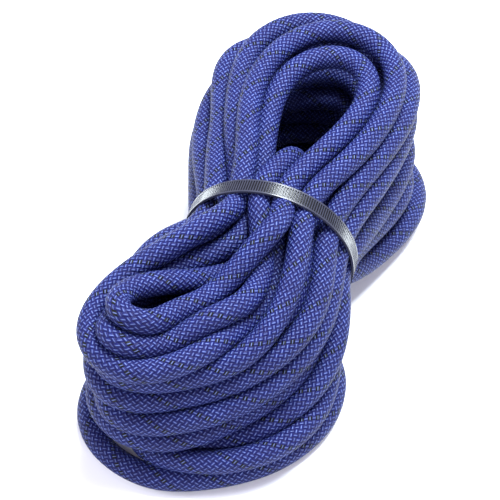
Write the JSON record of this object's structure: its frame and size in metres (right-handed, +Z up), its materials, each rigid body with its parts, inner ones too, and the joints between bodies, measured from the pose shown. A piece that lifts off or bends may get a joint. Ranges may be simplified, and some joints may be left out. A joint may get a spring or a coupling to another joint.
{
  "type": "dynamic climbing rope",
  "caption": "Hank of blue kernmantle climbing rope with black tracer, an open eye in each lobe, cinched round its middle by a grey self-locking cable tie.",
  "frame": {"origin": "on the ground, at the middle of the hank's box", "axes": "+Y along the hank from its near lobe to its far lobe, +Z up, +X to its right"},
  "size_m": [0.115, 0.215, 0.083],
  "materials": {
    "sheath_yarn": "plain braid of dyed polyamide yarn, blue with a black tracer",
    "core_yarn": "undyed twisted polyamide",
    "fused_nylon": "polyamide melted by a hot knife",
    "shrunk_sleeve": "shrunk polyolefin tube",
    "tie_nylon": "moulded grey polyamide with teeth across the outer face"
  },
  "bodies": {
    "hank": {"cable_tie": "tie_nylon", "hank_turns": "sheath_yarn", "tail_a_core_strand_01": "core_yarn", "tail_a_core_strand_02": "core_yarn", "tail_a_core_strand_03": "core_yarn", "tail_a_core_strand_04": "core_yarn", "tail_a_core_strand_05": "core_yarn", "tail_a_core_strand_06": "core_yarn", "tail_a_core_strand_07": "core_yarn", "tail_a_core_strand_08": "core_yarn", "tail_a_core_strand_09": "core_yarn", "tail_a_core_strand_10": "core_yarn", "tail_a_core_strand_11": "core_yarn", "tail_a_core_strand_12": "core_yarn", "tail_a_end_sleeve": "shrunk_sleeve", "tail_a_fused_tip": "fused_nylon", "tail_a_sheath": "sheath_yarn", "tail_b_core_strand_01": "core_yarn", "tail_b_core_strand_02": "core_yarn", "tail_b_core_strand_03": "core_yarn", "tail_b_core_strand_04": "core_yarn", "tail_b_core_strand_05": "core_yarn", "tail_b_core_strand_06": "core_yarn", "tail_b_core_strand_07": "core_yarn", "tail_b_core_strand_08": "core_yarn", "tail_b_core_strand_09": "core_yarn", "tail_b_core_strand_10": "core_yarn", "tail_b_core_strand_11": "core_yarn", "tail_b_core_strand_12": "core_yarn", "tail_b_end_sleeve": "shrunk_sleeve", "tail_b_fused_tip": "fused_nylon", "tail_b_sheath": "sheath_yarn"},
    "pawl": {"tie_pawl": "tie_nylon"}
  },
  "joints": [
    {"name": "pawl_lift", "type": "hinge", "parent": "hank", "child": "pawl", "pos_m": [-0.03418, -0.0065, 0.02881], "axis": [0, 1, 0], "range_deg": [0, 10], "stiffness_Nm_per_rad": 0.01, "springref_deg": -2.86}
  ]
}
